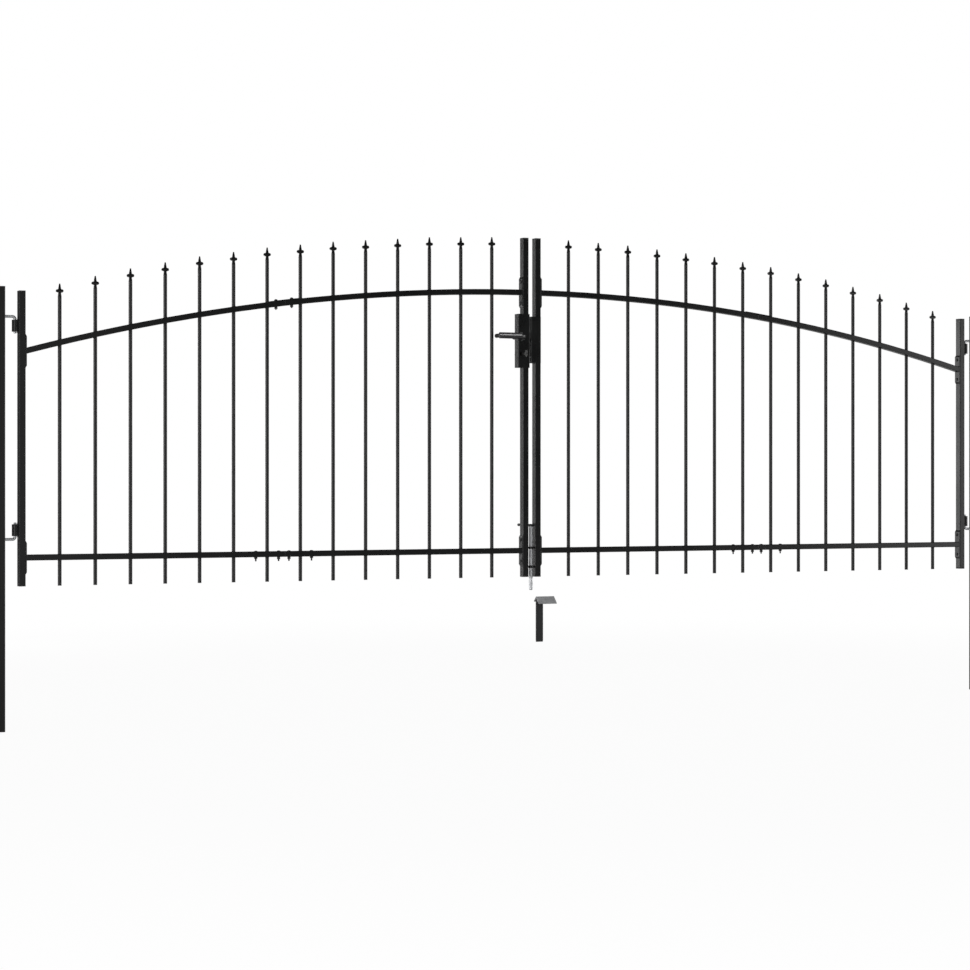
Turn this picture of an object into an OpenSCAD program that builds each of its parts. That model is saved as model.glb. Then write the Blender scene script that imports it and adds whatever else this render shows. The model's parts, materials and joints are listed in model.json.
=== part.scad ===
// Double-leaf driveway gate with arched top rails, round bars and spear heads, on two square posts.
// Millimetres, +Z up. +X runs along the gate from the left post to the right one, +Y is the yard side.
// The origin is the middle of the left post's foot.

/* [Posts] */
// Side of the square post tube
post_w = 60; // [50:1:100]
// Length of a post tube
post_h = 1497; // [1460:1:1800]
// Wall of the post tube and of the plate that closes its foot
post_wall = 2; // [1.5:0.5:4]
// Outer corner radius of the post tube
post_r = 6; // [2:0.5:8]
// How far the post tube stands above the top of a side stile
post_above = 9; // [0:1:60]
// Thickness of the post cap's plate
post_cap_t = 3; // [2:0.5:8]
// Depth of the plug under a cap
cap_plug = 12; // [6:1:20]
// Air between a post and its leaf
post_gap = 51; // [50:1:80]

/* [Leaf frames] */
// Width of a stile, seen from the front
stile_w = 22; // [16:1:30]
// Depth of a stile, front to back
stile_d = 30; // [24:1:40]
// Wall of the stile tube
stile_wall = 1.5; // [1:0.5:3]
// Outer corner radius of the stile tube
stile_r = 2; // [1:0.5:4]
// Height of a side stile with its caps
side_h = 1000; // [960:1:1100]
// Height of a middle stile with its caps
middle_h = 1250; // [1180:1:1400]
// Thickness of a stile cap outside its tube
stile_cap_t = 5; // [3:0.5:10]
// Air between the two middle stiles
leaf_gap = 28; // [27:1:40]

/* [Panels] */
// Bars in one half panel, two half panels a leaf
bars_half = 7; // [5:1:8]
// Distance between bar centres
bar_pitch = 125; // [110:1:140]
// Distance from a stile's centre to the next bar's centre
end_pitch = 132.5; // [125:0.5:150]
// Diameter of a bar
bar_d = 13; // [8:1:16]
// Height of a rail's section
rail_h = 20; // [16:1:30]
// Depth of a rail's section, front to back
rail_d = 28; // [18:1:29]
// Corner radius of a rail's section
rail_r = 2; // [1:0.5:4]
// Height of the lower rail's centre above the stile's foot
low_rail_z = 97; // [70:1:140]
// Radius of the top rail's upper edge
arch_r = 7300; // [6000:10:9000]
// Height of that edge at the middle of the gate, above the stile's foot
arch_top = 1059; // [1040:1:1100]
// How far the bars next to the middle stiles stand above the top rail
bar_rise = 147; // [100:1:200]
// Step in which the other bars are cut shorter, to follow the arch
bar_step = 5; // [1:1:8]
// Height of the plate that ends a rail at a stile
plate_h = 113; // [80:1:140]
// Depth of that plate, front to back
plate_d = 30; // [29:1:34]
// Thickness of that plate
plate_t = 4; // [2:0.5:8]
// Height of the sloped ends of that plate
plate_slope = 7; // [4:1:16]
// Length of the saddle over the joint of two top rails
saddle_l = 108; // [60:1:112]
// Thickness of the saddle
saddle_t = 2; // [1:0.5:4]

/* [Spear heads] */
// Height of a spear head
spear_h = 44; // [36:1:70]
// Width over its two side lobes
spear_w = 25; // [24:1:44]
// Height of the lobes' centre
lobe_z = 19; // [14:1:24]
// Radius of a lobe
lobe_r = 5.5; // [4:0.5:6]
// Width of the point where it leaves the lobes
point_w = 9; // [8:0.5:11]
// Width of the point at its blunt top
tip_w = 3.5; // [2:0.5:5]
// Diameter of the neck under the lobes
neck_d = 9.5; // [8:0.5:10]
// Radius of the hollow between the lobes and the point or the neck
hollow_r = 1.5; // [1:0.5:2]
// Thickness of the head at its lobes
head_t = 9; // [8:0.5:11]
// Thickness of the head where it leaves the neck
foot_t = 7; // [5:0.5:9]
// Thickness of the head's edge at the tip
tip_t = 3; // [2:0.5:6]

/* [Hinges] */
// Diameter of the hinge hook's rod
hook_d = 10; // [8:0.5:14]
// Bend radius of the hook at the rod's centre line
hook_bend = 9.5; // [8:0.5:12]
// Outer diameter of the eye on the stile
eye_d = 22; // [20:1:28]
// Height of the eye
eye_h = 40; // [30:1:60]
// Depth of the lug that carries the eye on the stile
lug_d = 16; // [12:1:20]
// Height of the eye's seat plate on the stile
seat_h = 62; // [50:1:90]
// Thickness of the seat plate
seat_t = 2.5; // [2:0.5:4]
// Height of the sloped ends of the seat plate
seat_slope = 9; // [4:0.5:9]
// Distance from the stile's face to the hinge axis
hinge_out = 11; // [11:0.5:16]
// Height of the upper eye's centre above the stile's foot
upper_eye_z = 881; // [840:1:900]
// Height of the lower eye's centre above the stile's foot
lower_eye_z = 190; // [180:1:240]
// Air between an eye and its hook's bend
eye_air = 1.5; // [1:0.1:4]
// How far the hook's pin reaches past the eye
pin_past = 6; // [3:1:12]
// Height of the taper at the pin's end
pin_taper = 1.5; // [0.5:0.5:3]

/* [Lock] */
// Foot of the lock case above the stile's foot
lock_z = 771; // [740:1:780]
// Height of the lock case
lock_h = 198; // [180:1:220]
// Width of the case beside the stile
lock_side = 21; // [19:0.5:30]
// How far the case reaches past the stile into the gap
lock_lip = 4; // [2:0.5:6]
// Wall of the case in front of and behind the stile
lock_wall = 2; // [1.5:0.5:4]
// Corner radius of the case
lock_r = 3; // [1:0.5:3]
// Height of the lever's axis above the case's foot
lever_up = 115; // [100:1:150]
// Diameter of the lever's spindle
spindle_d = 12; // [8:0.5:14]
// Height of the lever's almond-shaped section
grip_h = 22.5; // [20:0.5:23]
// Thickness of that section
grip_t = 16; // [15:0.5:17]
// Radius of that section's front and back
grip_r = 12.5; // [12:0.1:12.9]
// Diameter of the lever's turned-in tip
tip_d = 15.5; // [12:0.5:18]
// How far that tip is set in from the grip's square end
tip_inset = 1; // [0.5:0.5:4]
// Slope at the tip's end
tip_edge = 2.5; // [1:0.5:4]
// Distance from the spindle to the lever's outer end
lever_l = 105; // [80:1:106]
// Reach of the lever's grip in front of the case
lever_out = 37; // [34:1:60]
// Bend radius at the lever's neck, at its centre line
lever_bend = 18; // [17.5:0.5:20]
// Distance from the gate's middle plane to the end of the turned-in tip
tip_stop = 7; // [7:0.5:20]
// Diameter of the lever's rose
rose_d = 30; // [24:1:36]
// Thickness of the rose
rose_t = 4; // [2:0.5:6]
// Diameter of the turning knob behind the case
knob_d = 20; // [16:1:26]
// Length of that knob
knob_l = 26; // [16:1:40]
// Radius of the knob's rounded edges
knob_r = 4; // [2:0.5:7]
// Height of the lock cylinder's axis above the case's foot
cylinder_up = 50; // [30:1:60]
// Diameter of the lock cylinder
cylinder_d = 16; // [12:0.5:17]
// How far the cylinder stands out of the case on each side
cylinder_out = 4; // [2:0.5:8]
// Length of the key's shank that stays outside
key_shank = 32; // [20:1:40]
// Diameter of the key's bow
key_bow_d = 26; // [20:1:32]
// Diameter of the hole in the bow for a ring
key_hole_d = 8; // [4:0.5:9]
// Distance from the bow's edge to that hole
key_rim = 3; // [2:0.5:4]
// Thickness of the key
key_t = 2.5; // [2:0.5:4]
// Height of the key's shank
key_h = 8; // [6:0.5:10]
// Foot of the keep above the stile's foot
keep_z = 789; // [770:1:800]
// Height of the keep
keep_h = 171; // [150:1:190]
// Air between the lock case and the keep
keep_air = 6; // [5:0.5:10]
// Height of the keep's latch slot
slot_h = 60; // [30:1:90]
// Width of the latch slot, front to back
slot_w = 16; // [10:1:20]
// Depth of the latch slot
slot_deep = 14; // [8:1:16]

/* [Drop bolt] */
// Diameter of the drop rod
rod_d = 14; // [10:0.5:15]
// Offset of the rod from the middle of the gate towards its stile
rod_off = 2; // [0:0.5:4]
// Height of the rod's foot above the stile's foot
rod_foot = -49; // [-54:1:-20]
// Height of the handle bar's centre line above the stile's foot
handle_z = 190; // [180:1:220]
// Diameter of the handle bar
handle_d = 10; // [8:0.5:13]
// Length of the handle bar behind the rod's axis
handle_l = 107; // [80:1:140]
// Length of the handle bar in front of the rod's axis
handle_front = 9; // [8:1:16]
// Radius of the handle bar's rounded edges
handle_r = 2; // [1:0.5:3.5]
// Depth to which the handle bar is let into the rod's top
handle_seat = 2; // [1:0.5:4]
// Height of the taper at the rod's foot
rod_taper = 4; // [2:0.5:8]
// Height of the upper rod guide's centre above the stile's foot
upper_guide_z = 107; // [100:1:120]
// Height of the lower rod guide's centre above the stile's foot
lower_guide_z = 37; // [20:1:60]
// Height of a rod guide
guide_h = 8; // [6:1:20]
// Wall of a rod guide round the rod
guide_wall = 3; // [2:0.5:3]

/* [Ground stop] */
// Length of the stop's roof along the gate
stop_l = 74; // [50:1:120]
// Front leg of the roof's angle section
stop_leg = 35; // [30:1:50]
// Rear leg of the roof's angle section
stop_rear = 25; // [20:1:40]
// Thickness of the stop's steel
stop_t = 3; // [2:0.5:5]
// Depth of the roof's ridge under the stile's foot
stop_drop = 72; // [65:1:100]
// Distance of the roof's left end from the middle of the gate
stop_x = 8; // [0:1:20]
// Air between the roof's rear edge and the drop rod
stop_air = 6; // [5:0.5:20]
// Depth of the stake's foot under the stile's foot
stake_foot = 239; // [200:1:300]
// Width of the flat stake
stake_w = 28; // [20:1:40]
// Thickness of the stake
stake_t = 5; // [3:0.5:8]
// Height of the bevels at the stake's foot
stake_bevel = 8; // [4:1:16]
// Thickness of the edge that the bevels leave
stake_edge = 1; // [0.5:0.5:2]

/* [Fits] */
// Radial clearance of a pin in its bore
run_fit = 0.1; // [0.05:0.01:0.1]
// Air between a plug or a sleeve and its tube
slip_fit = 0.2; // [0.1:0.05:0.4]
// Air between a turning rose and the face behind it
face_fit = 0.3; // [0.2:0.05:0.5]

/* [Hidden] */
$fn = 48;
// Facets of the large arch
arch_fn = 3000;
// Sides of the circle that gives the top rail's corners their flats
corner_fn = 12;
// Overlap of cutting tools past the faces that they cut
cut = 1;
// Angle by which the arch is swept past the ends to which it is cut
sweep_over = 0.3;
// Smallest inner corner radius of a tube
inner_r_min = 0.3;

bars_leaf = 2 * bars_half;
middle_x = -(leaf_gap + stile_w) / 2;
function bar_x(i) = middle_x - end_pitch - i * bar_pitch;
side_x = bar_x(bars_leaf - 1) - end_pitch;
joint_x = bar_x(bars_half) + bar_pitch / 2;
hinge_x = side_x - stile_w / 2 - hinge_out;
post_face = side_x - stile_w / 2 - post_gap;
post_x = post_face - post_w / 2;
leaf_z = post_h - post_above - side_h;
arch_zc = arch_top - arch_r;
function arch_z(x) = arch_zc + sqrt(arch_r * arch_r - x * x);
first_top = arch_z(bar_x(0)) + bar_rise;
function bar_steps(i) = round((arch_z(bar_x(0)) - arch_z(bar_x(i))) / bar_step);
function bar_top(i) = first_top - bar_step * bar_steps(i);

lock_low = middle_x - stile_w / 2 - lock_side;
lock_high = middle_x + stile_w / 2 + lock_lip;
lock_half = stile_d / 2 + lock_wall;
lever_x = middle_x - (stile_w + lock_side) / 2;
lever_z = lock_z + lever_up;
cylinder_z = lock_z + cylinder_up;
keep_high = -lock_high - keep_air;
keep_low = middle_x - stile_w / 2;
stop_y = -(rod_d / 2 + stop_air + stop_rear / sqrt(2));
lobe_top = lobe_z + lobe_r;
lobe_low = lobe_z - lobe_r;

coat = "#1c1e1f";
plastic = "#141516";
zinc = "#b4b6b8";
bare = "#73767a";
dark_metal = "#4c4d4e";

// Places for the left and the right half. Each half is drawn as the left one, with x = 0 mid-gate.
module left_half() { translate([-post_x, 0, leaf_z]) children(); }
module right_half() { translate([-post_x, 0, leaf_z]) mirror([1, 0, 0]) children(); }

module round_rect(xa, xb, ya, yb, r) {
    translate([xa + r, ya]) square([xb - xa - 2 * r, yb - ya]);
    translate([xa, ya + r]) square([xb - xa, yb - ya - 2 * r]);
    for (x = [xa + r, xb - r], y = [ya + r, yb - r]) translate([x, y]) circle(r = r);
}

// Rectangle with round corners about the origin, taken in from a tube's outside by the inset
module section_face(w, d, r, inset) {
    hw = w / 2 - inset;
    hd = d / 2 - inset;
    round_rect(-hw, hw, -hd, hd, max(r - inset, inner_r_min));
}

// Square tube on its foot at the origin
module tube(w, d, h, wall, r) {
    linear_extrude(h) difference() {
        section_face(w, d, r, 0);
        section_face(w, d, r, wall);
    }
}

// Cap with a plug that fits a tube, its seat at the origin
module plug_cap(w, d, t, wall, r) {
    linear_extrude(t) section_face(w, d, r, 0);
    translate([0, 0, -cap_plug]) linear_extrude(cap_plug) section_face(w, d, r, wall + slip_fit);
}

// Round bar with rounded edges, on its foot at the origin
module round_bar(l, d, r) {
    rotate_extrude() intersection() {
        round_rect(-d / 2, d / 2, 0, l, r);
        square([d / 2, l]);
    }
}

// Plate with sloped ends, its back at the origin and its face towards +X
module sloped_plate(t, depth, h, slope) {
    translate([0, depth / 2, 0]) rotate([90, 0, 0]) linear_extrude(depth)
        polygon([[0, -h / 2], [t, slope - h / 2], [t, h / 2 - slope], [0, h / 2]]);
}

// Post tube with a plate that closes its foot
module post() {
    translate([post_x, 0, -leaf_z]) {
        tube(post_w, post_w, post_h, post_wall, post_r);
        linear_extrude(post_wall) section_face(post_w, post_w, post_r, 0);
    }
}

module post_cap() {
    translate([post_x, 0, post_h - leaf_z]) plug_cap(post_w, post_w, post_cap_t, post_wall, post_r);
}

// Hook with its rod on the post's face, a bend, and a pin that points up
module hook_up() {
    straight = hinge_x - hook_bend - post_face;
    pin_l = eye_air + eye_h + pin_past - pin_taper;
    rod_z = -eye_h / 2 - eye_air - hook_bend;
    translate([post_face, 0, rod_z]) rotate([0, 90, 0]) cylinder(h = straight, d = hook_d);
    translate([hinge_x - hook_bend, 0, rod_z + hook_bend]) rotate([90, 0, 0])
        rotate([0, 0, -90]) rotate_extrude(angle = 90) translate([hook_bend, 0]) circle(d = hook_d);
    translate([hinge_x, 0, rod_z + hook_bend]) {
        cylinder(h = pin_l, d = hook_d);
        translate([0, 0, pin_l]) cylinder(h = pin_taper, d1 = hook_d, d2 = hook_d - 2 * pin_taper);
    }
}

module lower_hook() { translate([0, 0, lower_eye_z]) hook_up(); }
module upper_hook() { translate([0, 0, upper_eye_z]) mirror([0, 0, 1]) hook_up(); }

// Eye with its lug, on a seat plate on the stile's face
module eye(z) {
    translate([hinge_x, 0, z]) {
        difference() {
            translate([0, 0, -eye_h / 2]) union() {
                cylinder(h = eye_h, d = eye_d);
                translate([0, -lug_d / 2, 0]) cube([hinge_out, lug_d, eye_h]);
            }
            translate([0, 0, -eye_h / 2 - cut]) cylinder(h = eye_h + 2 * cut, d = hook_d + 2 * run_fit);
        }
        translate([hinge_out, 0, 0]) mirror([1, 0, 0]) sloped_plate(seat_t, lug_d, seat_h, seat_slope);
    }
}

module stile(x, h) {
    translate([x, 0, stile_cap_t]) tube(stile_w, stile_d, h - 2 * stile_cap_t, stile_wall, stile_r);
}

module stile_cap() { plug_cap(stile_w, stile_d, stile_cap_t, stile_wall, stile_r); }

// Caps at the foot and the head of both stiles
module stile_caps() {
    for (place = [[side_x, side_h], [middle_x, middle_h]]) translate([place[0], 0, 0]) {
        translate([0, 0, place[1] - stile_cap_t]) stile_cap();
        translate([0, 0, stile_cap_t]) mirror([0, 0, 1]) stile_cap();
    }
}

// Stretch of the arch between two places along the gate, with the section that is given
module arch_sweep(xa, xb) {
    from = 90 - asin(xb / arch_r) - sweep_over;
    to = 90 - asin(xa / arch_r) + sweep_over;
    intersection() {
        translate([0, 0, arch_zc]) rotate([90, 0, 0]) rotate([0, 0, from])
            rotate_extrude(angle = to - from, $fn = arch_fn) children();
        translate([xa, -rail_d, 0]) cube([xb - xa, 2 * rail_d, arch_top + rail_h]);
    }
}

module top_rail(xa, xb) {
    arch_sweep(xa, xb)
        round_rect(arch_r - rail_h, arch_r, -rail_d / 2, rail_d / 2, rail_r, $fn = corner_fn);
}

module low_rail(xa, xb) {
    translate([xa, 0, low_rail_z]) rotate([90, 0, 90])
        linear_extrude(xb - xa) section_face(rail_d, rail_h, rail_r, 0);
}

// Plates on the ends of both rails, against the stile's face at x, with the panel on the given side
module end_plates(x, side) {
    for (z = [low_rail_z, arch_z(x) - rail_h / 2]) translate([x, 0, z])
        mirror([side < 0 ? 1 : 0, 0, 0]) sloped_plate(plate_t, plate_d, plate_h, plate_slope);
}

// Two rails and seven bars, welded into one panel
module panel(xa, xb, first) {
    top_rail(xa, xb);
    low_rail(xa, xb);
    for (i = [first : first + bars_half - 1])
        translate([bar_x(i), 0, 0]) cylinder(h = bar_top(i), d = bar_d);
}

module inner_panel() {
    end = middle_x - stile_w / 2;
    panel(joint_x, end, 0);
    end_plates(end, -1);
}

module outer_panel() {
    end = side_x + stile_w / 2;
    panel(end, joint_x, bars_half);
    end_plates(end, 1);
}

// Hollow that runs from the lobes into the straight flank of the point
module upper_hollow() {
    run = (point_w - tip_w) / 2;
    rise = spear_h - lobe_top;
    flank = sqrt(run * run + rise * rise);
    centre = point_w / 2 + hollow_r * (flank - run) / rise;
    difference() {
        polygon([[0, lobe_top], [centre, lobe_top],
                 [centre - hollow_r * rise / flank, lobe_top + hollow_r * (1 - run / flank)]]);
        translate([centre, lobe_top + hollow_r]) circle(r = hollow_r);
    }
}

// Hollow that runs from the neck into the lobes
module lower_hollow() {
    difference() {
        translate([0, lobe_low - hollow_r]) square([neck_d / 2 + hollow_r, hollow_r]);
        translate([neck_d / 2 + hollow_r, lobe_low - hollow_r]) circle(r = hollow_r);
    }
}

module spear_face() {
    translate([lobe_r - spear_w / 2, lobe_low]) square([spear_w - 2 * lobe_r, 2 * lobe_r]);
    polygon([[-point_w / 2, lobe_top], [-tip_w / 2, spear_h],
             [tip_w / 2, spear_h], [point_w / 2, lobe_top]]);
    for (side = [0, 1]) mirror([side, 0]) {
        translate([spear_w / 2 - lobe_r, lobe_z]) circle(r = lobe_r);
        upper_hollow();
        lower_hollow();
    }
}

module spear_side() {
    polygon([[-foot_t / 2, lobe_low - hollow_r], [foot_t / 2, lobe_low - hollow_r], [head_t / 2, lobe_z],
             [tip_t / 2, spear_h], [-tip_t / 2, spear_h], [-head_t / 2, lobe_z]]);
}

// Spear head: a flat head, thickest at its lobes, on a tapered neck that runs out on the head's faces
module spear() {
    intersection() {
        translate([0, head_t / 2, 0]) rotate([90, 0, 0]) linear_extrude(head_t) spear_face();
        translate([-spear_w / 2, 0, 0]) rotate([90, 0, 90]) linear_extrude(spear_w) spear_side();
    }
    cylinder(h = lobe_low, d1 = bar_d, d2 = neck_d);
    translate([0, 0, lobe_low]) cylinder(h = 2 * lobe_r, d1 = neck_d, d2 = tip_t);
}

module spears(first) {
    for (i = [first : first + bars_half - 1])
        translate([bar_x(i), 0, bar_top(i)]) spear();
}

// Plate over the joint of two top rails
module saddle() {
    arch_sweep(joint_x - saddle_l / 2, joint_x + saddle_l / 2)
        translate([arch_r, -rail_d / 2]) square([saddle_t, rail_d]);
}

// Room for the stile inside a sleeve
module stile_room(h) {
    w = stile_w + 2 * slip_fit;
    d = stile_d + 2 * slip_fit;
    translate([middle_x - w / 2, -d / 2, -cut]) cube([w, d, h + 2 * cut]);
}

// Bore through the lock case, front to back
module case_bore(x, z, d) {
    translate([x, lock_half + cut, z]) rotate([90, 0, 0]) cylinder(h = 2 * (lock_half + cut), d = d);
}

module case_shape() {
    difference() {
        translate([0, 0, lock_z]) difference() {
            linear_extrude(lock_h) round_rect(lock_low, lock_high, -lock_half, lock_half, lock_r);
            stile_room(lock_h);
        }
        case_bore(lever_x, lever_z, spindle_d + 2 * run_fit);
        case_bore(lever_x, cylinder_z, cylinder_d + 2 * slip_fit);
    }
}

module cylinder_shape() {
    half = lock_half + cylinder_out;
    translate([lever_x, half, cylinder_z]) rotate([90, 0, 0]) cylinder(h = 2 * half, d = cylinder_d);
}

// Key in the cylinder, its flat upright
module key_shape() {
    face = lock_half + cylinder_out;
    bow_y = face + key_shank + key_bow_d / 2 - key_t;
    translate([lever_x - key_t / 2, -face - key_shank, cylinder_z - key_h / 2])
        cube([key_t, key_shank, key_h]);
    translate([lever_x - key_t / 2, -bow_y, cylinder_z]) rotate([0, 90, 0]) difference() {
        cylinder(h = key_t, d = key_bow_d);
        translate([0, (key_hole_d - key_bow_d) / 2 + key_rim, -cut])
            cylinder(h = key_t + 2 * cut, d = key_hole_d);
    }
}

// Section of the lever, thin from front to back
module grip_face() {
    shift = grip_r - grip_t / 2;
    intersection() {
        translate([-shift, 0]) circle(r = grip_r);
        translate([shift, 0]) circle(r = grip_r);
        square([grip_t, grip_h], center = true);
    }
}

// Lever: spindle through the case, rose, neck, grip with a square end, and a round tip turned in to the gate
module lever_shape() {
    front = lock_half + face_fit;
    arm_y = lock_half + lever_out;
    neck_y = arm_y - lever_bend;
    tip_l = arm_y - tip_stop - tip_edge;
    translate([lever_x, 0, lever_z]) {
        translate([0, front, 0]) rotate([90, 0, 0]) cylinder(h = 2 * front, d = spindle_d);
        translate([0, -front, 0]) rotate([90, 0, 0]) {
            cylinder(h = rose_t, d = rose_d);
            linear_extrude(neck_y - front) grip_face();
        }
        translate([-lever_bend, -neck_y, 0]) rotate([0, 0, -90])
            rotate_extrude(angle = 90) translate([lever_bend, 0]) grip_face();
        translate([-lever_bend, -arm_y, 0]) rotate([90, 0, -90])
            linear_extrude(lever_l - lever_bend) grip_face();
        translate([tip_d / 2 + tip_inset - lever_l, -arm_y, 0]) rotate([-90, 0, 0]) {
            cylinder(h = tip_l, d = tip_d);
            translate([0, 0, tip_l]) cylinder(h = tip_edge, d1 = tip_d, d2 = tip_d - 2 * tip_edge);
        }
    }
}

module knob_shape() {
    translate([lever_x, lock_half + face_fit, lever_z]) rotate([-90, 0, 0]) round_bar(knob_l, knob_d, knob_r);
}

// Channel on the right middle stile, with a slot for the latch
module keep_shape() {
    translate([0, 0, keep_z]) difference() {
        linear_extrude(keep_h) round_rect(keep_low, keep_high, -lock_half, lock_half, lock_r);
        stile_room(keep_h);
        translate([keep_high - slot_deep, -slot_w / 2, (keep_h - slot_h) / 2])
            cube([slot_deep + cut, slot_w, slot_h]);
    }
}

// Guide that carries the drop rod on the stile's face
module rod_guide(z) {
    base = middle_x + stile_w / 2;
    outer_d = rod_d + 2 * (run_fit + guide_wall);
    translate([-rod_off, 0, z - guide_h / 2]) difference() {
        union() {
            cylinder(h = guide_h, d = outer_d);
            translate([base + rod_off, -outer_d / 2, 0]) cube([-base - rod_off, outer_d, guide_h]);
        }
        translate([0, 0, -cut]) cylinder(h = guide_h + 2 * cut, d = rod_d + 2 * run_fit);
    }
}

module handle_shape() {
    translate([-rod_off, -handle_front, handle_z]) rotate([-90, 0, 0])
        round_bar(handle_front + handle_l, handle_d, handle_r);
}

// Drop rod, tapered at its foot and hollowed at its top to seat the handle bar
module rod_shape() {
    shank_foot = rod_foot + rod_taper;
    rod_top = handle_z - handle_d / 2 + handle_seat;
    difference() {
        translate([-rod_off, 0, rod_foot]) {
            cylinder(h = rod_taper, d1 = rod_d - rod_taper, d2 = rod_d);
            translate([0, 0, rod_taper]) cylinder(h = rod_top - shank_foot, d = rod_d);
        }
        handle_shape();
    }
}

// Angle section with its corner up, along +X
module ridge(l, front_leg, rear_leg, t) {
    rotate([-45, 0, 0]) translate([0, 0, -front_leg]) cube([l, t, front_leg]);
    rotate([45, 0, 0]) translate([0, -t, -rear_leg]) cube([l, t, rear_leg]);
}

module roof_shape() {
    translate([stop_x, stop_y, -stop_drop]) ridge(stop_l, stop_leg, stop_rear, stop_t);
}

// Flat stake under the left end of the roof, fitted into its corner and bevelled at its foot
module stake_shape() {
    peak = -stop_drop - stop_t * sqrt(2);
    half = stake_t / 2;
    translate([stop_x, stop_y, 0]) rotate([90, 0, 90]) linear_extrude(stake_w)
        polygon([[-stake_edge / 2, -stake_foot], [stake_edge / 2, -stake_foot],
                 [half, stake_bevel - stake_foot], [half, peak - half], [0, peak],
                 [-half, peak - half], [-half, stake_bevel - stake_foot]]);
}

module left_post() { color(coat) left_half() post(); }
module right_post() { color(coat) right_half() post(); }
module left_post_cap() { color(plastic) left_half() post_cap(); }
module right_post_cap() { color(plastic) right_half() post_cap(); }
module left_upper_hook() { color(zinc) left_half() upper_hook(); }
module right_upper_hook() { color(zinc) right_half() upper_hook(); }
module left_lower_hook() { color(zinc) left_half() lower_hook(); }
module right_lower_hook() { color(zinc) right_half() lower_hook(); }
module stop_roof() { color(bare) left_half() roof_shape(); }
module stop_stake() { color(coat) left_half() stake_shape(); }

module left_side_stile() { color(coat) left_half() stile(side_x, side_h); }
module right_side_stile() { color(coat) right_half() stile(side_x, side_h); }
module left_middle_stile() { color(coat) left_half() stile(middle_x, middle_h); }
module right_middle_stile() { color(coat) right_half() stile(middle_x, middle_h); }
module left_stile_caps() { color(plastic) left_half() stile_caps(); }
module right_stile_caps() { color(plastic) right_half() stile_caps(); }
module left_upper_eye() { color(coat) left_half() eye(upper_eye_z); }
module right_upper_eye() { color(coat) right_half() eye(upper_eye_z); }
module left_lower_eye() { color(coat) left_half() eye(lower_eye_z); }
module right_lower_eye() { color(coat) right_half() eye(lower_eye_z); }
module left_outer_panel() { color(coat) left_half() outer_panel(); }
module right_outer_panel() { color(coat) right_half() outer_panel(); }
module left_inner_panel() { color(coat) left_half() inner_panel(); }
module right_inner_panel() { color(coat) right_half() inner_panel(); }
module left_outer_spears() { color(coat) left_half() spears(bars_half); }
module right_outer_spears() { color(coat) right_half() spears(bars_half); }
module left_inner_spears() { color(coat) left_half() spears(0); }
module right_inner_spears() { color(coat) right_half() spears(0); }
module left_saddle() { color(coat) left_half() saddle(); }
module right_saddle() { color(coat) right_half() saddle(); }

module lock_case() { color(coat) left_half() case_shape(); }
module lock_cylinder() { color(dark_metal) left_half() cylinder_shape(); }
module lock_key() { color(dark_metal) left_half() key_shape(); }
module lever() { color(plastic) left_half() lever_shape(); }
module lever_knob() { color(plastic) left_half() knob_shape(); }
module lock_keep() { color(coat) right_half() keep_shape(); }
module rod_guides() {
    color(coat) right_half() {
        rod_guide(upper_guide_z);
        rod_guide(lower_guide_z);
    }
}
module drop_rod() { color(zinc) right_half() rod_shape(); }
module drop_handle() { color(plastic) right_half() handle_shape(); }

left_post();
left_post_cap();
left_upper_hook();
left_lower_hook();
right_post();
right_post_cap();
right_upper_hook();
right_lower_hook();
stop_roof();
stop_stake();
left_side_stile();
left_middle_stile();
left_stile_caps();
left_upper_eye();
left_lower_eye();
left_outer_panel();
left_inner_panel();
left_outer_spears();
left_inner_spears();
left_saddle();
lock_case();
lock_cylinder();
lock_key();
lever();
lever_knob();
right_side_stile();
right_middle_stile();
right_stile_caps();
right_upper_eye();
right_lower_eye();
right_outer_panel();
right_inner_panel();
right_outer_spears();
right_inner_spears();
right_saddle();
lock_keep();
rod_guides();
drop_rod();
drop_handle();
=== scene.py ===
import json
import math
import bmesh
import bpy
from mathutils import Matrix, Vector


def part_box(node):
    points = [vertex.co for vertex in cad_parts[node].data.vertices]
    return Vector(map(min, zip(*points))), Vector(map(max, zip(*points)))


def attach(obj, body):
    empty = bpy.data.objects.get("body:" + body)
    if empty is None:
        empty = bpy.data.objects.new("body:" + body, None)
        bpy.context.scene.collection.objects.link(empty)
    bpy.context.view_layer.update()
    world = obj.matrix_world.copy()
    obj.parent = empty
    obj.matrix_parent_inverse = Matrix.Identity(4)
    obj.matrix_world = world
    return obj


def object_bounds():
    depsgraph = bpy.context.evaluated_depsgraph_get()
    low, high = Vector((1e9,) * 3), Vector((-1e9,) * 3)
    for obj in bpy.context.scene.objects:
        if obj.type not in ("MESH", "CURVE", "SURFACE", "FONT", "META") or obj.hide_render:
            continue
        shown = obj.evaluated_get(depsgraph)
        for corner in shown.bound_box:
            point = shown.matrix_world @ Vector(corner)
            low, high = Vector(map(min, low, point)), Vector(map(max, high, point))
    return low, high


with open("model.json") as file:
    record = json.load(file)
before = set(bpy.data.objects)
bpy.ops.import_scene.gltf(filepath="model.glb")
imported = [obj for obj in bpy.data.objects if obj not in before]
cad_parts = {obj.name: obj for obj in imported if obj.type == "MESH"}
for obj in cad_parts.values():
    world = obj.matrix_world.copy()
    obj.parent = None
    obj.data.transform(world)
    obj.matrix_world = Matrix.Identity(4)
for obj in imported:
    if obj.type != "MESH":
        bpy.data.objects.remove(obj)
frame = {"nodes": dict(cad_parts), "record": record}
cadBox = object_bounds()
nodes = frame["nodes"]
print("frame loaded,", len(nodes), "nodes")


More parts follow.
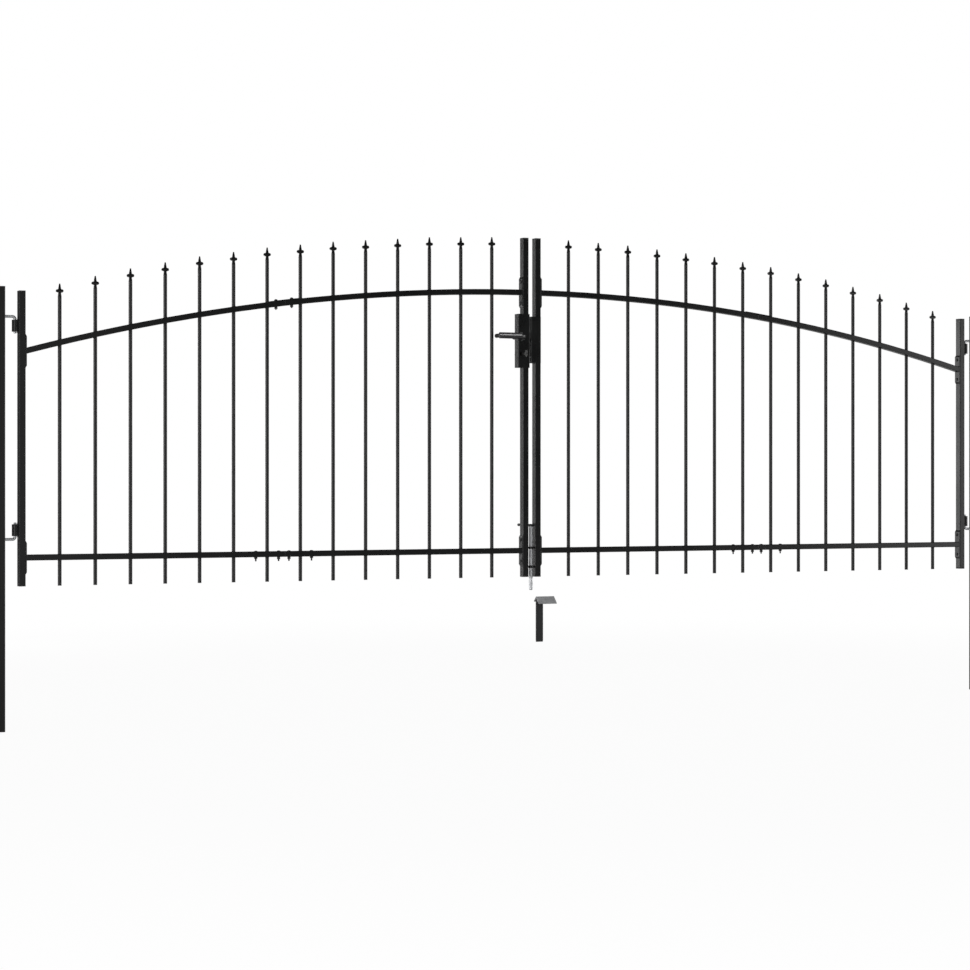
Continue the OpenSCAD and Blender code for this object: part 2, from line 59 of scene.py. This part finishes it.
class Wire:
    # an output socket with plain maths, or just a node tree when no socket is given
    def __init__(self, tree, socket=None):
        self.tree = tree
        self.socket = socket

    def node(self, kind, settings=None, inputs=None, out=0):
        made = self.tree.nodes.new(kind)
        for name, value in (settings or {}).items():
            setattr(made, name, value)
        for name, value in (inputs or {}).items():
            if isinstance(value, Wire):
                self.tree.links.new(value.socket, made.inputs[name])
            else:
                made.inputs[name].default_value = value
        return Wire(self.tree, made.outputs[out] if made.outputs else None)

    def maths(self, operation, first, second):
        return self.node("ShaderNodeMath", {"operation": operation}, {0: first, 1: second})

    def __add__(self, other):
        return self.maths("ADD", self, other)

    def __radd__(self, other):
        return self.maths("ADD", other, self)

    def __sub__(self, other):
        return self.maths("SUBTRACT", self, other)

    def __rsub__(self, other):
        return self.maths("SUBTRACT", other, self)

    def __mul__(self, other):
        return self.maths("MULTIPLY", self, other)

    def __rmul__(self, other):
        return self.maths("MULTIPLY", other, self)

    def ease(self, low, high):  # 0 below low, 1 above high, smooth between
        inputs = {"Value": self, "From Min": low, "From Max": high}
        return self.node("ShaderNodeMapRange", {"interpolation_type": "SMOOTHSTEP"}, inputs)

    def tint(self, low, high):  # a colour between two, by this value
        return self.node("ShaderNodeMix", {"data_type": "RGBA"}, {0: self, 6: low, 7: high}, 2)


def grey(tone):
    return (tone, tone, tone, 1.0)


def newMaterial(name):
    made = bpy.data.materials.new(name)
    made.use_nodes = True
    made.node_tree.nodes.clear()
    return made, Wire(made.node_tree)


def closeMaterial(tree, surface):
    tree.node("ShaderNodeOutputMaterial", None, {"Surface": surface})


def closeWithPrincipled(tree, inputs):
    closeMaterial(tree, tree.node("ShaderNodeBsdfPrincipled", None, inputs))


def objectPlace(tree):
    return tree.node("ShaderNodeTexCoord", None, None, "Object")


def noise(tree, place, scale, detail=2.0, rough=0.5):
    inputs = {"Vector": place, "Scale": scale, "Detail": detail, "Roughness": rough}
    return tree.node("ShaderNodeTexNoise", None, inputs)


def stretched(tree, place, scale):
    return tree.node("ShaderNodeMapping", None, {"Vector": place, "Scale": scale})


bumpDepth = 0.0002  # metres, the same for every finish


def bumped(tree, strength, height, normal=None):
    inputs = {"Strength": strength, "Distance": bumpDepth, "Height": height}
    if normal is not None:
        inputs["Normal"] = normal
    return tree.node("ShaderNodeBump", None, inputs)


# edges, found where a rounded normal turns away from the true one
edgeFind = {"samples": 4, "turnFrom": 0.02, "turnTo": 0.28}


def roundedNormal(tree, reach):
    return tree.node("ShaderNodeBevel", {"samples": edgeFind["samples"]}, {"Radius": reach})


def edgeMask(tree, reach):
    flat = tree.node("ShaderNodeNewGeometry", None, None, "True Normal")
    pair = {0: roundedNormal(tree, reach), 1: flat}
    alike = tree.node("ShaderNodeVectorMath", {"operation": "DOT_PRODUCT"}, pair, "Value")
    return (1 - alike).ease(edgeFind["turnFrom"], edgeFind["turnTo"])


# black powder coat: fine orange peel, slow tone changes, paler and smoother on the edges
coat = {
    "dark": (0.0036, 0.0038, 0.0039, 1), "pale": (0.0052, 0.0055, 0.0056, 1),
    "stakeDark": (0.016, 0.0163, 0.0168, 1), "stakePale": (0.022, 0.0224, 0.023, 1),
    "edge": (0.014, 0.0145, 0.0148, 1), "edgeReach": 0.0012, "edgePolish": 0.05,
    "peelPerMetre": 620, "peelDetail": 1.5, "peelShare": 0.75, "grainPerMetre": 2400,
    "patchPerMetre": 7, "patchDetail": 4.0, "patchBreak": 0.6, "patchRange": (0.32, 0.68), "patchShare": 0.6,
    "rough": 0.24, "roughSpread": 0.08, "bump": 0.02, "gloss": 0.30,
}


def makeCoat(name, dark, pale):
    made, tree = newMaterial(name)
    place = objectPlace(tree)
    peel = noise(tree, place, coat["peelPerMetre"], coat["peelDetail"])
    grain = noise(tree, place, coat["grainPerMetre"])
    patch = noise(tree, place, coat["patchPerMetre"], coat["patchDetail"], coat["patchBreak"])
    patch = patch.ease(*coat["patchRange"])
    edge = edgeMask(tree, coat["edgeReach"])
    mottle = coat["patchShare"] * patch + (1 - coat["patchShare"]) * grain
    height = coat["peelShare"] * peel + (1 - coat["peelShare"]) * grain
    closeWithPrincipled(tree, {
        "Base Color": edge.tint(patch.tint(dark, pale), coat["edge"]),
        "Roughness": coat["rough"] + coat["roughSpread"] * mottle - coat["edgePolish"] * edge,
        "Normal": bumped(tree, coat["bump"], height, roundedNormal(tree, coat["edgeReach"])),
        "Specular IOR Level": coat["gloss"]})
    return made


# black moulded plastic: dull on the caps, polished on the grips
plastic = {
    "dark": (0.0052, 0.0053, 0.0056, 1), "pale": (0.0085, 0.0086, 0.009, 1), "edgeReach": 0.0008,
    "grainPerMetre": 3200, "grainRough": 0.05,
    "patchPerMetre": 30, "patchDetail": 3.0, "patchRange": (0.3, 0.7), "patchRough": 0.06,
    "capRough": 0.52, "capBump": 0.10, "capGloss": 0.5,
    "gripRough": 0.18, "gripBump": 0.02, "gripGloss": 0.6,
}


def makePlastic(name, rough, bumpStrength, gloss):
    made, tree = newMaterial(name)
    place = objectPlace(tree)
    grain = noise(tree, place, plastic["grainPerMetre"])
    patch = noise(tree, place, plastic["patchPerMetre"], plastic["patchDetail"]).ease(*plastic["patchRange"])
    closeWithPrincipled(tree, {
        "Base Color": patch.tint(plastic["dark"], plastic["pale"]),
        "Roughness": rough + plastic["patchRough"] * patch + plastic["grainRough"] * grain,
        "Normal": bumped(tree, bumpStrength, grain, roundedNormal(tree, plastic["edgeReach"])),
        "Specular IOR Level": gloss})
    return made


# zinc plating: clouded, with faint crystals
zinc = {
    "pale": (0.70, 0.71, 0.72, 1), "dull": (0.58, 0.59, 0.605, 1),
    "cloudPerMetre": 55, "cloudDetail": 4.0, "cloudBreak": 0.6, "cloudRange": (0.35, 0.7), "cloudShare": 0.65,
    "crystalPerMetre": 260, "grainPerMetre": 1800, "rough": 0.50, "roughSpread": 0.10, "bump": 0.03,
}


def makeZinc():
    made, tree = newMaterial("zincPlate")
    place = objectPlace(tree)
    cloud = noise(tree, place, zinc["cloudPerMetre"], zinc["cloudDetail"], zinc["cloudBreak"])
    cloud = cloud.ease(*zinc["cloudRange"])
    crystal = tree.node("ShaderNodeTexVoronoi", None, {"Vector": place, "Scale": zinc["crystalPerMetre"]})
    grain = noise(tree, place, zinc["grainPerMetre"])
    worn = zinc["cloudShare"] * cloud + (1 - zinc["cloudShare"]) * crystal
    closeWithPrincipled(tree, {
        "Base Color": worn.tint(zinc["pale"], zinc["dull"]), "Metallic": 1.0,
        "Roughness": zinc["rough"] + zinc["roughSpread"] * worn,
        "Normal": bumped(tree, zinc["bump"], grain)})
    return made


# dark nickel on the lock cylinder and the key: satin, with brushing marks
nickel = {
    "pale": (0.026, 0.0255, 0.0245, 1), "dull": (0.018, 0.0175, 0.017, 1),
    "brushPerMetre": 900, "brushStretch": (1.0, 0.05, 1.0),
    "cloudPerMetre": 120, "cloudDetail": 3.0, "cloudRange": (0.35, 0.7),
    "rough": 0.24, "roughSpread": 0.16, "bump": 0.05,
}


def makeNickel():
    made, tree = newMaterial("nickelPlate")
    place = objectPlace(tree)
    brush = noise(tree, stretched(tree, place, nickel["brushStretch"]), nickel["brushPerMetre"])
    cloud = noise(tree, place, nickel["cloudPerMetre"], nickel["cloudDetail"]).ease(*nickel["cloudRange"])
    closeWithPrincipled(tree, {
        "Base Color": cloud.tint(nickel["pale"], nickel["dull"]), "Metallic": 1.0,
        "Roughness": nickel["rough"] + nickel["roughSpread"] * brush,
        "Normal": bumped(tree, nickel["bump"], brush)})
    return made


# grey steel of the ground stop: dull coat with scuffs and worn edges
stopSteel = {
    "pale": (0.25, 0.255, 0.26, 1), "dull": (0.18, 0.184, 0.189, 1), "scuff": (0.34, 0.344, 0.348, 1),
    "cloudPerMetre": 45, "cloudDetail": 4.0, "cloudBreak": 0.6, "cloudRange": (0.3, 0.7),
    "scuffPerMetre": 160, "scuffStretch": (0.25, 1.0, 1.0), "scuffDetail": 5.0, "scuffBreak": 0.7,
    "scuffRange": (0.62, 0.74), "scuffShare": 0.35, "edgeReach": 0.0010, "edgeShare": 0.5,
    "grainPerMetre": 2200, "rough": 0.48, "roughSpread": 0.18, "wornPolish": 0.1,
    "metal": 0.15, "bump": 0.08,
}


def makeStopSteel():
    made, tree = newMaterial("stopSteel")
    place = objectPlace(tree)
    cloud = noise(tree, place, stopSteel["cloudPerMetre"], stopSteel["cloudDetail"], stopSteel["cloudBreak"])
    cloud = cloud.ease(*stopSteel["cloudRange"])
    long = stretched(tree, place, stopSteel["scuffStretch"])
    scuff = noise(tree, long, stopSteel["scuffPerMetre"], stopSteel["scuffDetail"], stopSteel["scuffBreak"])
    scuff = scuff.ease(*stopSteel["scuffRange"])
    grain = noise(tree, place, stopSteel["grainPerMetre"])
    edge = edgeMask(tree, stopSteel["edgeReach"])
    colour = cloud.tint(stopSteel["pale"], stopSteel["dull"])
    worn = stopSteel["scuffShare"] * scuff + stopSteel["edgeShare"] * edge
    rough = stopSteel["rough"] + stopSteel["roughSpread"] * cloud - stopSteel["wornPolish"] * worn
    closeWithPrincipled(tree, {
        "Base Color": worn.tint(colour, stopSteel["scuff"]), "Metallic": stopSteel["metal"],
        "Roughness": rough, "Normal": bumped(tree, stopSteel["bump"], grain)})
    return made


finish = {
    "coat": makeCoat("powderCoat", coat["dark"], coat["pale"]),
    "stake": makeCoat("stakeCoat", coat["stakeDark"], coat["stakePale"]),
    "cap": makePlastic("capPlastic", plastic["capRough"], plastic["capBump"], plastic["capGloss"]),
    "grip": makePlastic("gripPlastic", plastic["gripRough"], plastic["gripBump"], plastic["gripGloss"]),
    "zinc": makeZinc(), "nickel": makeNickel(), "stop": makeStopSteel(),
}
finishOfSlot = {"coated_steel": "coat", "black_plastic": "cap", "zinc": "zinc",
                "dark_nickel": "nickel", "grey_steel": "stop"}
finishOfNode = {"lever": "grip", "lever_knob": "grip", "stop_stake": "stake"}
for part in frame["record"]["subparts"]:
    name = part["node"]
    chosen = finishOfNode.get(name, finishOfSlot[part["material_slot"]])
    nodes[name].data.materials.clear()
    nodes[name].data.materials.append(finish[chosen])
print("finishes on all nodes")


# the gate's own sizes, then places read from the frame; side is -1 on the left leaf and 1 on the right one
gate = {"barPitch": 0.125, "endPitch": 0.1325, "barsLeaf": 14, "barD": 0.013, "archR": 7.3,
        "archTop": 1.059, "railH": 0.020, "lowRailZ": 0.097, "saddleT": 0.002, "plateT": 0.004}
leafOf = {-1: "left_leaf", 1: "right_leaf"}
stileLow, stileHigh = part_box("left_middle_stile")
midX = (stileLow.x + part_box("right_middle_stile")[1].x) / 2
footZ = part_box("left_stile_caps")[0].z
middleStile = midX - (stileLow.x + stileHigh.x) / 2
stileHalf = (stileHigh.x - stileLow.x) / 2
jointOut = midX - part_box("left_inner_panel")[0].x
lowRailTop = footZ + gate["lowRailZ"] + gate["railH"] / 2


def barOut(index):  # how far a bar's axis is from the middle of the gate
    return middleStile + gate["endPitch"] + index * gate["barPitch"]


def archZ(out, lift=0.0):  # height of the top rail's upper edge, or of an arc that far over it
    return footZ + gate["archTop"] - gate["archR"] + math.sqrt((gate["archR"] + lift) ** 2 - out ** 2)


sideStile = barOut(gate["barsLeaf"] - 1) + gate["endPitch"]


def addLathe(bm, profile, place, steps, across=None):
    # profile is (radius, height) from one end to the other; across gives a hexagon of that width
    rings = []
    for radius, height in profile:
        if radius == 0:
            rings.append([bm.verts.new(place @ Vector((0, 0, height)))])
            continue
        ring = []
        for step in range(steps):
            angle = 2 * math.pi * step / steps
            reach = radius
            if across:
                flat = across / 2 / math.cos((angle % (math.pi / 3)) - math.pi / 6)
                reach = min(radius, flat)
            corner = Vector((reach * math.cos(angle), reach * math.sin(angle), height))
            ring.append(bm.verts.new(place @ corner))
        rings.append(ring)
    for low, high in zip(rings, rings[1:]):
        for step in range(steps):
            nextStep = (step + 1) % steps
            if len(low) == 1:
                bm.faces.new((low[0], high[step], high[nextStep]))
            elif len(high) == 1:
                bm.faces.new((low[step], low[nextStep], high[0]))
            else:
                bm.faces.new((low[step], low[nextStep], high[nextStep], high[step]))


def addPiece(name, bm, body, sharp):  # a coated piece; edges that turn more than sharp degrees stay crisp
    bmesh.ops.recalc_face_normals(bm, faces=bm.faces)
    mesh = bpy.data.meshes.new(name)
    bm.to_mesh(mesh)
    bm.free()
    for face in mesh.polygons:
        face.use_smooth = True
    mesh.set_sharp_from_angle(angle=math.radians(sharp))
    piece = bpy.data.objects.new(name, mesh)
    bpy.context.scene.collection.objects.link(piece)
    mesh.materials.append(finish["coat"])
    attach(piece, body)


# fasteners of the rail joints and the end plates
bolt = {"headR": 0.0062, "headH": 0.0028, "topHeadH": 0.0058, "rivetH": 0.0021, "domeFlank": 0.25,
        "washerR": 0.007, "washerT": 0.0013, "washerSoft": 0.25,
        "nutAcross": 0.010, "nutH": 0.005, "tallNutH": 0.0085, "nutFace": 0.96, "nutSlope": 0.55,
        "shankR": 0.003, "pitch": 0.001, "threadDepth": 0.6, "crestFrom": 0.4, "crestTo": 0.6,
        "end": 0.015, "topEnd": 0.0115, "chamfer": 0.0007, "sunk": 0.0009,
        "lowInner": 0.0195, "lowOuter": 0.105, "topPlace": 0.0296, "plateUp": 0.039,
        "roundSteps": 24, "domeSteps": 6, "hexSteps": 36, "threadSteps": 16, "sharp": 35}


def domeProfile(height):
    radius = bolt["headR"]
    flank = bolt["domeFlank"]
    points = [(0, 0), (radius, 0), (radius, height * flank)]
    for step in range(1, bolt["domeSteps"]):
        turn = math.pi / 2 * step / bolt["domeSteps"]
        points.append((radius * math.cos(turn), height * (flank + (1 - flank) * math.sin(turn))))
    return points + [(0, height)]


def washerProfile():
    radius = bolt["washerR"]
    thick = bolt["washerT"]
    soft = thick * bolt["washerSoft"]
    return [(0, 0), (radius - soft, 0), (radius, soft), (radius, thick - soft),
            (radius - soft, thick), (0, thick)]


def nutProfile(start, high):
    corner = bolt["nutAcross"] / math.sqrt(3)
    inner = bolt["nutAcross"] / 2 * bolt["nutFace"]
    lift = (corner - inner) * bolt["nutSlope"]
    return [(0, start), (inner, start), (corner, start + lift), (corner, start + high - lift),
            (inner, start + high), (0, start + high)]


def threadProfile(start, end):
    points = [(0, start)]
    crest = bolt["shankR"]
    root = crest - bolt["threadDepth"] * bolt["pitch"]
    turns = round((end - bolt["chamfer"] - start) / bolt["pitch"])
    for turn in range(turns):
        level = start + turn * bolt["pitch"]
        points.append((root, level))
        points.append((crest, level + bolt["crestFrom"] * bolt["pitch"]))
        points.append((crest, level + bolt["crestTo"] * bolt["pitch"]))
    return points + [(root, end - bolt["chamfer"]), (root - bolt["chamfer"], end), (0, end)]


def axisPlace(point, axis):
    turn = Vector((0, 0, 1)).rotation_difference(Vector(axis))
    return Matrix.Translation(Vector(point)) @ turn.to_matrix().to_4x4()


def addHead(bm, point, axis, high):
    addLathe(bm, domeProfile(high), axisPlace(point, axis), bolt["roundSteps"])


def addNut(bm, point, end, high, withWasher):  # under a rail, with the bolt's end below it
    place = axisPlace(point, (0, 0, -1))
    start = 0.0
    if withWasher:
        addLathe(bm, washerProfile(), place, bolt["roundSteps"])
        start = bolt["washerT"]
    addLathe(bm, nutProfile(start, high), place, bolt["hexSteps"], bolt["nutAcross"])
    addLathe(bm, threadProfile(start + high - bolt["chamfer"], end), place, bolt["threadSteps"])


def makeBolts(side):
    heads = bmesh.new()
    nuts = bmesh.new()
    lowBolts = ((bolt["lowInner"], bolt["tallNutH"], False), (bolt["lowOuter"], bolt["nutH"], True))
    for away, high, withWasher in lowBolts:
        for way in (-1, 1):
            x = midX + side * (jointOut + way * away)
            addHead(heads, (x, 0, lowRailTop), (0, 0, 1), bolt["headH"])
            addNut(nuts, (x, 0, lowRailTop - gate["railH"]), bolt["end"], high, withWasher)
    for way in (-1, 1):
        out = jointOut + way * bolt["topPlace"]
        x = midX + side * out
        over = (x, 0, archZ(out, gate["saddleT"]) - bolt["sunk"])
        under = (x, 0, archZ(out, -gate["railH"]) + bolt["sunk"])
        if side < 0:
            addHead(heads, over, (0, 0, 1), bolt["topHeadH"])
            addNut(nuts, under, bolt["topEnd"], bolt["tallNutH"], False)
        else:  # low rivets on this leaf
            addHead(heads, over, (0, 0, 1), bolt["rivetH"])
            addHead(heads, under, (0, 0, -1), bolt["rivetH"])
    plates = ((middleStile + stileHalf, 1), (sideStile - stileHalf, -1))
    for stileFace, way in plates:
        x = midX + side * (stileFace + way * gate["plateT"])
        for level in (footZ + gate["lowRailZ"], archZ(stileFace) - gate["railH"] / 2):
            for up in (-1, 1):
                addHead(heads, (x, 0, level + up * bolt["plateUp"]), (side * way, 0, 0), bolt["headH"])
    addPiece(leafOf[side] + "_bolt_heads", heads, leafOf[side], bolt["sharp"])
    addPiece(leafOf[side] + "_nuts", nuts, leafOf[side], bolt["sharp"])


for side in (-1, 1):
    makeBolts(side)
print("bolts and nuts made")


# weld fillets where the bars go through the rails; rows are shares of reach and rise
weld = {"reach": 0.0016, "rise": 0.0014, "rows": ((0.0, 1.0), (0.35, 0.45), (1.0, 0.0)),
        "innerShare": 0.9, "sunk": 0.0005, "steps": 28, "ripple": 0.16, "ripples": 9,
        "barTurn": 1.7, "faceTurn": 2.3, "sharp": 60}


def addWeldRing(bm, barX, up, surface, turn):
    # a rippled ring about a bar; surface gives the height of the rail's face at each x
    radius = gate["barD"] / 2
    rings = []
    for step in range(weld["steps"]):
        angle = 2 * math.pi * step / weld["steps"]
        wave = 1 + weld["ripple"] * math.sin(weld["ripples"] * angle + turn)
        places = []
        for out, rise in weld["rows"]:
            places.append((radius + weld["reach"] * out * wave, weld["rise"] * rise * wave))
        places.append((weld["innerShare"] * radius, -weld["sunk"]))
        ring = []
        for reach, rise in places:
            x = barX + reach * math.cos(angle)
            ring.append(bm.verts.new((x, reach * math.sin(angle), surface(x) + up * rise)))
        rings.append(ring)
    count = len(rings[0])
    for step in range(weld["steps"]):
        now = rings[step]
        after = rings[(step + 1) % weld["steps"]]
        for place in range(count):
            nextPlace = (place + 1) % count
            bm.faces.new((now[place], after[place], after[nextPlace], now[nextPlace]))


def makeBarWelds(side):
    bm = bmesh.new()
    faces = ((1, lambda x: lowRailTop), (-1, lambda x: lowRailTop - gate["railH"]),
             (1, lambda x: archZ(x - midX)), (-1, lambda x: archZ(x - midX) - gate["railH"]))
    for index in range(gate["barsLeaf"]):
        barX = midX + side * barOut(index)
        for place, (up, surface) in enumerate(faces):
            addWeldRing(bm, barX, up, surface, weld["barTurn"] * index + weld["faceTurn"] * place)
    addPiece(leafOf[side] + "_bar_welds", bm, leafOf[side], weld["sharp"])


for side in (-1, 1):
    makeBarWelds(side)
print("bar welds made")


# pale floor and white surround; mirrored is how white the floor shows in reflections
stage = {"floorReach": 7.5, "floorSides": 48, "floorTone": 0.36,
         "shown": 0.95, "fadeFrom": 2.6, "fadeTo": 6.5,
         "mirrored": 0.15, "mirrorFrom": 5.0, "mirrorTo": 7.4,
         "ambient": 0.80, "frontTone": 0.06, "backFrom": -0.20, "backTo": 0.22,
         "dimFrom": -0.40, "brightFrom": -0.62, "dimTone": 0.02}


def rayKinds(tree):  # 1 for what the camera sees, and 1 for what a reflection or glass shows
    path = "ShaderNodeLightPath"
    glossy = tree.node(path, None, None, "Is Glossy Ray")
    through = tree.node(path, None, None, "Is Transmission Ray")
    return tree.node(path, None, None, "Is Camera Ray"), (glossy + through).ease(0.0, 1.0)


def makeFloor():
    bm = bmesh.new()
    bmesh.ops.create_circle(bm, cap_ends=True, radius=stage["floorReach"], segments=stage["floorSides"])
    mesh = bpy.data.meshes.new("floor")
    bm.to_mesh(mesh)
    bm.free()
    floor = bpy.data.objects.new("floor", mesh)
    floor.location = (midX, 0, cadBox[0][2])
    bpy.context.scene.collection.objects.link(floor)
    made, tree = newMaterial("paleFloor")
    away = tree.node("ShaderNodeVectorMath", {"operation": "LENGTH"}, {0: objectPlace(tree)}, "Value")
    far = away.ease(stage["fadeFrom"], stage["fadeTo"])
    rim = away.ease(stage["mirrorFrom"], stage["mirrorTo"])
    camera, mirrored = rayKinds(tree)
    shownShare = stage["shown"] + (1 - stage["shown"]) * far
    mirroredShare = stage["mirrored"] + (1 - stage["mirrored"]) * rim
    white = camera * shownShare + mirrored * mirroredShare
    matte = tree.node("ShaderNodeBsdfDiffuse", None, {"Color": grey(stage["floorTone"])})
    glow = tree.node("ShaderNodeEmission", None, {"Color": grey(1.0), "Strength": 1.0})
    closeMaterial(tree, tree.node("ShaderNodeMixShader", None, {0: white, 1: matte, 2: glow}))
    mesh.materials.append(made)


def makeSurround():  # white to the camera; in reflections dark in front and bright behind to the left
    world = bpy.data.worlds.new("studio")
    bpy.context.scene.world = world
    world.use_nodes = True
    world.node_tree.nodes.clear()
    tree = Wire(world.node_tree)
    toward = tree.node("ShaderNodeTexCoord", None, None, "Generated")
    across = tree.node("ShaderNodeSeparateXYZ", None, {"Vector": toward}, "X")
    depth = tree.node("ShaderNodeSeparateXYZ", None, {"Vector": toward}, "Y")
    behind = depth.ease(stage["backFrom"], stage["backTo"])
    left = across.ease(stage["dimFrom"], stage["brightFrom"])
    share = behind * (stage["dimTone"] + (1 - stage["dimTone"]) * left)
    camera, mirrored = rayKinds(tree)
    white = (camera + mirrored).ease(0.0, 1.0)
    room = share.tint(grey(stage["frontTone"]), grey(1.0))
    shown = camera.tint(room, grey(1.0))
    background = tree.node("ShaderNodeBackground", None, {
        "Color": white.tint(grey(stage["ambient"]), shown), "Strength": 1.0})
    tree.node("ShaderNodeOutputWorld", None, {"Surface": background})


# soft panels; a lamp with "only" lights just those nodes
lamps = {
    "leftPanel": {"at": (-3.6, -1.2, 1.2), "aim": (1.2, -1.2, 1.2), "size": (6.5, 2.6), "watts": 170},
    "frontLeft": {"at": (-3.2, -6.6, 1.2), "aim": (0.6, 0.0, 1.2), "size": (4.2, 2.6), "watts": 55},
    "rightPanel": {"at": (7.5, -2.5, 1.2), "aim": (3.6, -2.5, 1.2), "size": (7.0, 2.6), "watts": 165},
    "frontFill": {"at": (1.3, -6.2, 1.1), "aim": (0.1, 0.0, 1.0), "size": (2.2, 2.4), "watts": 12},
    "backStrip": {"at": (0.88, 4.5, 1.1), "aim": (3.9, 0.0, 1.1), "size": (0.7, 2.6), "watts": 25},
    "leverStrip": {"at": (3.19, -2.78, 2.62), "aim": (1.92, -0.06, 1.374), "size": (0.5, 1.7), "watts": 44,
                   "only": ("lever", "lever_knob")},
    "overhead": {"at": (2.0, 0.2, 5.4), "aim": (2.0, 0.0, 0.0), "size": (6.0, 3.0), "watts": 50},
}


def makeLamps():
    for name, lamp in lamps.items():
        light = bpy.data.lights.new(name, "AREA")
        light.shape = "RECTANGLE"
        light.size, light.size_y = lamp["size"]
        light.energy = lamp["watts"]
        holder = bpy.data.objects.new(name, light)
        bpy.context.scene.collection.objects.link(holder)
        holder.location = lamp["at"]
        toward = Vector(lamp["aim"]) - Vector(lamp["at"])
        holder.rotation_euler = toward.to_track_quat("-Z", "Y").to_euler()
        holder.visible_camera = False
        if "only" in lamp:
            lit = bpy.data.collections.new(name + "Lit")
            for part in lamp["only"]:
                lit.objects.link(nodes[part])
            holder.light_linking.receiver_collection = lit


view = {"at": (-2.203, -8.635, 0.874), "yaw": 25.0, "lens": 96.5, "sensor": 36.0,
        "shiftX": -0.00036, "shiftY": -0.01319, "farthest": 200.0}


def makeCamera():  # level, turned to the right by yaw
    data = bpy.data.cameras.new("camera")
    data.lens = view["lens"]
    data.sensor_width = view["sensor"]
    data.sensor_fit = "HORIZONTAL"
    data.shift_x = view["shiftX"]
    data.shift_y = view["shiftY"]
    data.clip_end = view["farthest"]
    camera = bpy.data.objects.new("camera", data)
    bpy.context.scene.collection.objects.link(camera)
    camera.location = view["at"]
    camera.rotation_euler = (math.radians(90), 0, math.radians(-view["yaw"]))
    bpy.context.scene.camera = camera


makeFloor()
makeSurround()
makeLamps()
makeCamera()
bpy.context.scene.view_settings.view_transform = "Standard"
print("stage, lamps and camera set")
